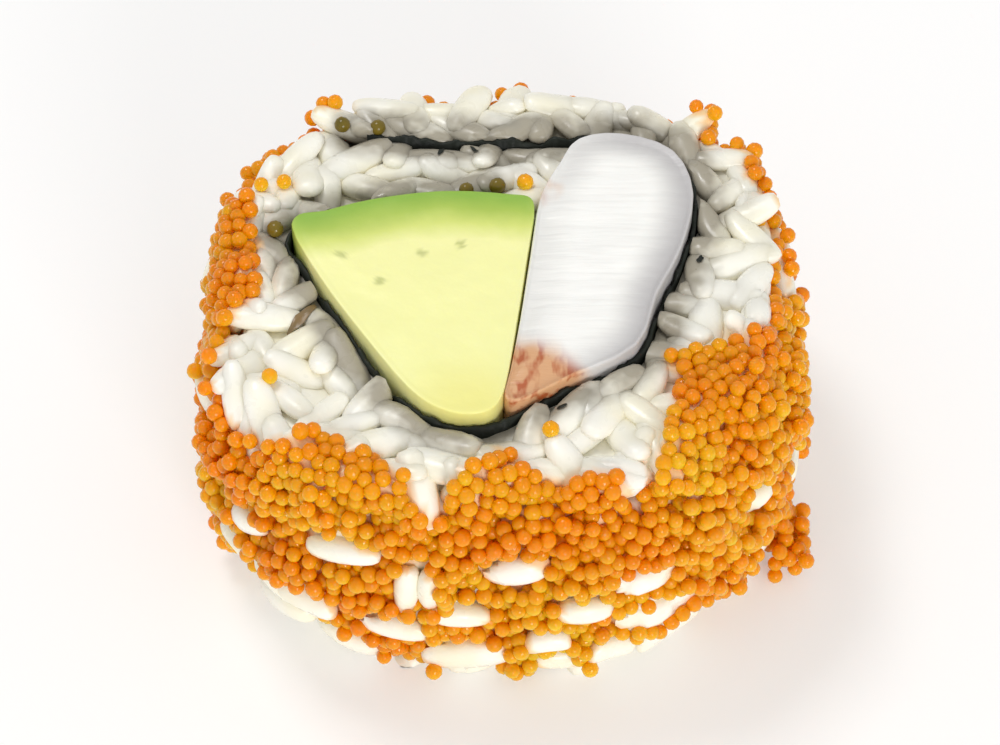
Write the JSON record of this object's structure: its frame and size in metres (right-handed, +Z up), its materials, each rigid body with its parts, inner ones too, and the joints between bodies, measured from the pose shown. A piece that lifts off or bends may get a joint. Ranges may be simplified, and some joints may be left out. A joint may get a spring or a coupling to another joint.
{
  "type": "uramaki roll piece",
  "caption": "Single slice of an inside-out sushi roll: rice outside, seaweed spiral round avocado and crab stick, coated in orange fish roe, standing on a cut face.",
  "frame": {"origin": "centre of the bounding box at the lower cut face, on the table", "axes": "+X to the viewer's right along the widest side, +Y away from the viewer, +Z up along the roll's own axis"},
  "size_m": [0.049, 0.0468, 0.024],
  "materials": {
    "rice": "moist cooked rice, warm white, softly glossy grains",
    "nori": "damp black-green seaweed sheet",
    "avocado": "smooth moist flesh, pale yellow with a green edge",
    "crab": "moist white fibres with a pink and orange skin",
    "roe": "wet translucent orange beads"
  },
  "bodies": {
    "root": {"rice": "rice", "nori": "nori", "avocado": "avocado", "crab_stick": "crab", "roe_coat": "roe"}
  },
  "joints": []
}
